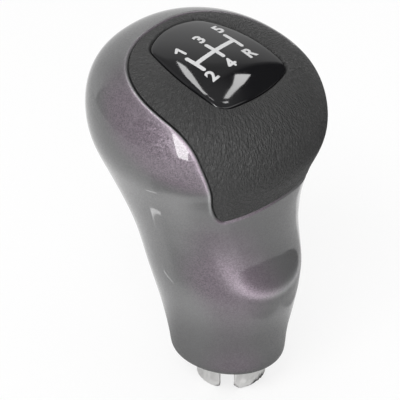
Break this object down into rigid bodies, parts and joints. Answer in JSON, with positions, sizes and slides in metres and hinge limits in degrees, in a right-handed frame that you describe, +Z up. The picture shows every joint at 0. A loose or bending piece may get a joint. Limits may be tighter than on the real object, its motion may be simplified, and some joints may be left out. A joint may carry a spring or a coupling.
{
  "type": "gear shift knob",
  "caption": "Gear shift knob with a pearl grey painted shell, a grained black cover, a gloss shift plate and a threaded metal insert.",
  "frame": {"origin": "on the lever's axis, at the open base of the stem", "axes": "+Z up along the lever, +Y to the front of the car, +X to the right"},
  "size_m": [0.0558, 0.0511, 0.0861],
  "materials": {
    "pearl_paint": "pearl grey lacquer with fine metallic flake",
    "grained_skin": "black, fine leather grain, satin",
    "inner_plastic": "moulded black, matt",
    "gloss_black": "high gloss black with white print under the lens",
    "foam_pad": "adhesive foam",
    "nylon": "glass-filled nylon, matt",
    "insert_metal": "turned, satin, burred slot edges",
    "screw_steel": "zinc plated"
  },
  "bodies": {
    "root": {"shell": "pearl_paint", "cover": "grained_skin", "carrier": "inner_plastic", "shift_plate": "gloss_black", "plate_pad": "foam_pad", "core": "nylon", "lever_insert": "insert_metal", "carrier_screws": "screw_steel"}
  },
  "joints": []
}
